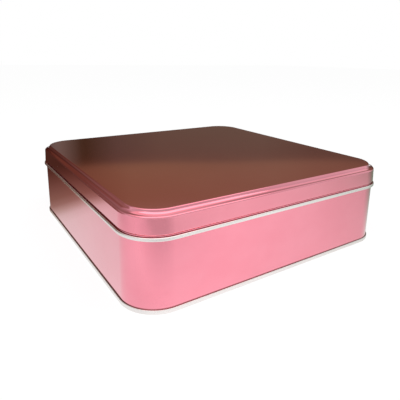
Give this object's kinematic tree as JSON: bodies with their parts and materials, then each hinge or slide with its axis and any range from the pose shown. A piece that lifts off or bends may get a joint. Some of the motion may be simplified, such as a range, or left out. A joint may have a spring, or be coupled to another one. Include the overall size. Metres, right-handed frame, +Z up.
{
  "type": "square slip-lid tin",
  "caption": "Low square tin with rounded corners, a slip-over lid with a raised panel and curled edge, and a double-seamed bottom.",
  "frame": {"origin": "centre of the square on the surface that the tin stands on", "axes": "+Z up through the lid; X and Y along the tin's four equal sides, with the wall's side seam in the middle of the +Y side"},
  "size_m": [0.2398, 0.2398, 0.0679],
  "materials": {
    "pink_lacquer": "smooth translucent pink lacquer over bright tinplate",
    "bare_tinplate": "bright bare tinplate"
  },
  "bodies": {
    "tin": {"body_wall": "pink_lacquer", "bottom_panel": "bare_tinplate"},
    "lid": {"lid": "pink_lacquer"}
  },
  "joints": [
    {"name": "lid_lift", "type": "slide", "parent": "tin", "child": "lid", "axis": [0, 0, 1], "range_m": [0, 0.08]}
  ]
}
